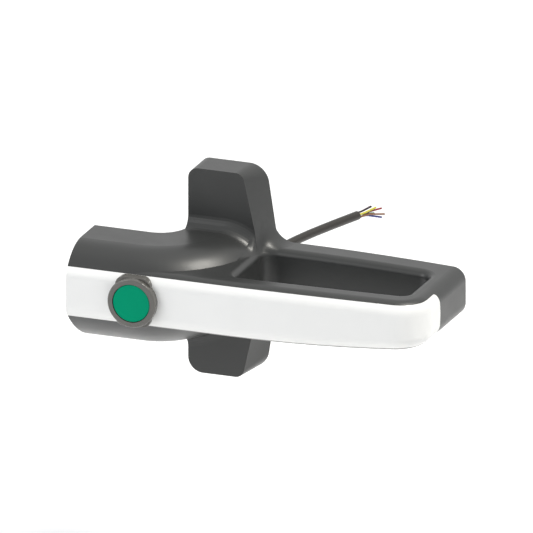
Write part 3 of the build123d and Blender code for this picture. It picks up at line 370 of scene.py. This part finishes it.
class Look:
    """A node material: a principled shader with a few helpers for its inputs."""

    def __init__(self, name, color, roughness, metallic=0.0, specular=0.5, coat=0.0):
        self.material = bpy.data.materials.new(name)
        self.material.use_nodes = True
        self.nodes = self.material.node_tree.nodes
        self.links = self.material.node_tree.links
        self.shader = self.nodes["Principled BSDF"]
        self.shader.inputs["Base Color"].default_value = (*color, 1.0)
        self.shader.inputs["Roughness"].default_value = roughness
        self.shader.inputs["Metallic"].default_value = metallic
        self.shader.inputs["Specular IOR Level"].default_value = specular
        self.shader.inputs["Coat Weight"].default_value = coat
        self.shader.inputs["Coat Roughness"].default_value = COAT_ROUGHNESS
        self.color = color
        self.roughness = roughness
        self.place = self.nodes.new("ShaderNodeTexCoord").outputs["Object"]

    def noise(self, scale, detail=2.0):
        """A noise pattern in the object's own metres."""
        noise = self.nodes.new("ShaderNodeTexNoise")
        noise.inputs["Scale"].default_value = scale
        noise.inputs["Detail"].default_value = detail
        self.links.new(self.place, noise.inputs["Vector"])
        return noise.outputs["Fac"]

    def spread(self, source, low, high):
        """The pattern's middle range mapped to two values."""
        ranged = self.nodes.new("ShaderNodeMapRange")
        ranged.inputs["From Min"].default_value = PATTERN_MIDDLE[0]
        ranged.inputs["From Max"].default_value = PATTERN_MIDDLE[1]
        ranged.inputs["To Min"].default_value = low
        ranged.inputs["To Max"].default_value = high
        self.links.new(source, ranged.inputs["Value"])
        return ranged.outputs["Result"]

    def shade(self, source, darker, lighter):
        """Varies the base colour's brightness with a pattern."""
        mix = self.nodes.new("ShaderNodeMix")
        mix.data_type = "RGBA"
        mix.inputs["A"].default_value = (*(darker * value for value in self.color), 1.0)
        mix.inputs["B"].default_value = (*(lighter * value for value in self.color), 1.0)
        self.links.new(self.spread(source, 0.0, 1.0), mix.inputs["Factor"])
        self.links.new(mix.outputs["Result"], self.shader.inputs["Base Color"])

    def wear(self, source, change):
        """Varies the roughness with a pattern."""
        result = self.spread(source, self.roughness - change, self.roughness + change)
        self.links.new(result, self.shader.inputs["Roughness"])

    def bump(self, source, height):
        """Raises the surface by a pattern, with its height in metres."""
        bump = self.nodes.new("ShaderNodeBump")
        bump.inputs["Strength"].default_value = 1.0
        bump.inputs["Distance"].default_value = height
        self.links.new(source, bump.inputs["Height"])
        self.links.new(bump.outputs["Normal"], self.shader.inputs["Normal"])


def moulded(name, color, roughness, grain=FINE_GRAIN, height=0.00002, mottle=0.03, **gloss):
    """Injection-moulded plastic: fine erosion grain, faint flow and handling marks."""
    look = Look(name, color, roughness, **gloss)
    look.shade(look.noise(FLOW_MARKS, 3.0), 1.0 - mottle, 1.0 + mottle)
    look.wear(look.noise(HANDLING_MARKS, 4.0), mottle)
    look.bump(look.noise(grain), height)
    return look.material


def metal(name, color, roughness):
    """Plated or machined metal with fine tool marks."""
    look = Look(name, color, roughness, metallic=1.0)
    look.shade(look.noise(PLATING_MARKS, 3.0), *PLATING_SHADES)
    look.wear(look.noise(PLATING_WEAR, 3.0), PLATING_WEAR_CHANGE)
    look.bump(look.noise(TOOL_MARKS), TOOL_MARK_HEIGHT)
    return look.material


LOOKS = {
    "body_grey": moulded("body_grey", (0.028, 0.0293, 0.0290), 0.35, specular=0.48),
    "cover_grey": moulded("cover_grey", (0.027, 0.0283, 0.0280), 0.40, specular=0.48),
    "strip_white": moulded(
        "strip_white", (0.86, 0.863, 0.855), 0.25, SMOOTH_GRAIN, 0.000006, mottle=0.006, coat=0.2
    ),
    "bezel_grey": moulded("bezel_grey", (0.10, 0.096, 0.087), 0.25, SMOOTH_GRAIN, 0.000008, coat=0.3),
    "lens_green": moulded(
        "lens_green", (0.0015, 0.295, 0.155), 0.55, SMOOTH_GRAIN, 0.000008, specular=0.03
    ),
    "plastic_black": moulded("plastic_black", (0.028, 0.028, 0.03), 0.45),
    "pusher_white": moulded("pusher_white", (0.72, 0.71, 0.67), 0.4),
    "rubber_black": moulded("rubber_black", (0.022, 0.022, 0.022), 0.65, COARSE_GRAIN, 0.00003),
    "steel": metal("steel", (0.56, 0.56, 0.55), 0.32),
    "spring_steel": metal("spring_steel", (0.5, 0.5, 0.5), 0.25),
    "brass": metal("brass", (0.72, 0.56, 0.25), 0.3),
    "cable_grey": moulded("cable_grey", (0.020, 0.017, 0.014), 0.33, SHEATH_GRAIN),
    "core_black": moulded("core_black", (0.012, 0.006, 0.016), 0.35),
    "core_violet": moulded("core_violet", (0.22, 0.035, 0.10), 0.35),
    "core_yellow": moulded("core_yellow", (0.58, 0.53, 0.05), 0.35),
    "core_red": moulded("core_red", (0.25, 0.012, 0.02), 0.35),
    "core_green": moulded("core_green", (0.045, 0.27, 0.09), 0.35),
    "core_brown": moulded("core_brown", (0.22, 0.10, 0.045), 0.35),
    "core_blue": moulded("core_blue", (0.006, 0.025, 0.26), 0.35),
}
SLOTS = {part["node"]: part["material_slot"] for part in frame["record"]["subparts"]}


def dress(piece, look):
    """Gives an added piece one material."""
    piece.data.materials.clear()
    piece.data.materials.append(look)


for node, piece in frame["nodes"].items():
    if piece.material_slots:
        for used in piece.material_slots:
            used.material = LOOKS[SLOTS[node]]
    else:
        piece.data.materials.append(LOOKS[SLOTS[node]])
dress(cable, LOOKS["cable_grey"])
dress(collar, LOOKS["bezel_grey"])
dress(saddle, LOOKS["body_grey"])

# Floor, background and lights: the room's light falls off from left to right

FLOOR_DROP = 0.11
FLOOR_Z = cad_low.z - FLOOR_DROP
FLOOR_SIZE = 4.0
FLOOR_GLOW = 0.3
FLOOR_COLOR = (0.9, 0.9, 0.9)
FLOOR_MOTTLE = 3.0
FLOOR_SHADES = (0.995, 1.0)
ROOM_COLOR = (0.95, 0.97, 1.0, 1.0)
ROOM_LEFT = 0.80
ROOM_RIGHT = 0.40
LIGHT_AIM = Vector((0.03, -0.04, 0.0))
LIGHTS = (
    # name, place, size, power, colour
    ("top", (0.1, 0.1, 1.3), (1.2, 1.0), 1.2, (1.0, 0.99, 0.97)),
    ("left_front", (-1.0, -1.2, 0.6), (0.8, 0.8), 6.4, (1.0, 1.0, 1.0)),
    ("right_top", (0.66, 0.05, 1.2), (0.45, 0.45), 15.0, (1.0, 0.97, 0.9)),
)


def seen_only(tree, for_light, for_camera):
    """Gives the light one closure, and the camera and mirrors another."""
    light_path = tree.nodes.new("ShaderNodeLightPath")
    total = light_path.outputs["Is Camera Ray"]
    for ray in ("Is Glossy Ray", "Is Transmission Ray"):
        either = tree.nodes.new("ShaderNodeMath")
        either.operation = "MAXIMUM"
        tree.links.new(total, either.inputs[0])
        tree.links.new(light_path.outputs[ray], either.inputs[1])
        total = either.outputs[0]
    mix = tree.nodes.new("ShaderNodeMixShader")
    tree.links.new(total, mix.inputs["Fac"])
    tree.links.new(for_light, mix.inputs[1])
    tree.links.new(for_camera, mix.inputs[2])
    return mix.outputs["Shader"]


def make_floor():
    """A pale plane that glows a little for the camera and keeps the object's shadow."""
    mesh = bpy.data.meshes.new("floor")
    half = FLOOR_SIZE / 2
    corners = [(x, y, FLOOR_Z) for x, y in ((-half, -half), (half, -half), (half, half), (-half, half))]
    mesh.from_pydata(corners, [], [(0, 1, 2, 3)])
    floor = bpy.data.objects.new("floor", mesh)
    scene.collection.objects.link(floor)
    look = Look("floor", FLOOR_COLOR, 0.8, specular=0.0)
    look.shade(look.noise(FLOOR_MOTTLE), *FLOOR_SHADES)
    glow = look.nodes.new("ShaderNodeEmission")
    glow.inputs["Strength"].default_value = FLOOR_GLOW
    lit = look.nodes.new("ShaderNodeAddShader")
    look.links.new(look.shader.outputs["BSDF"], lit.inputs[0])
    look.links.new(glow.outputs["Emission"], lit.inputs[1])
    tree = look.material.node_tree
    surface = seen_only(tree, look.shader.outputs["BSDF"], lit.outputs["Shader"])
    look.links.new(surface, look.nodes["Material Output"].inputs["Surface"])
    mesh.materials.append(look.material)
    return floor


def make_world():
    """White for the camera and mirrors, a plain room for the light."""
    world = bpy.data.worlds.new("studio")
    world.use_nodes = True
    tree = world.node_tree
    room = tree.nodes["Background"]
    room.inputs["Color"].default_value = ROOM_COLOR
    place = tree.nodes.new("ShaderNodeTexCoord")
    split = tree.nodes.new("ShaderNodeSeparateXYZ")
    fall = tree.nodes.new("ShaderNodeMapRange")
    fall.inputs["From Min"].default_value = -1.0
    fall.inputs["From Max"].default_value = 1.0
    fall.inputs["To Min"].default_value = ROOM_LEFT
    fall.inputs["To Max"].default_value = ROOM_RIGHT
    tree.links.new(place.outputs["Generated"], split.inputs["Vector"])
    tree.links.new(split.outputs["X"], fall.inputs["Value"])
    tree.links.new(fall.outputs["Result"], room.inputs["Strength"])
    white = tree.nodes.new("ShaderNodeBackground")
    white.inputs["Color"].default_value = (1.0, 1.0, 1.0, 1.0)
    white.inputs["Strength"].default_value = 1.0
    surface = seen_only(tree, room.outputs["Background"], white.outputs["Background"])
    tree.links.new(surface, tree.nodes["World Output"].inputs["Surface"])
    scene.world = world


def area_light(name, place, size, power, color):
    """A rectangular lamp turned towards the grip."""
    data = bpy.data.lights.new(name, "AREA")
    data.shape = "RECTANGLE"
    data.size, data.size_y = size
    data.energy = power
    data.color = color
    light = bpy.data.objects.new(name, data)
    light.location = place
    light.rotation_euler = (Vector(place) - LIGHT_AIM).to_track_quat("Z", "Y").to_euler()
    scene.collection.objects.link(light)


make_floor()
make_world()
for lamp in LIGHTS:
    area_light(*lamp)
scene.view_settings.view_transform = "Standard"
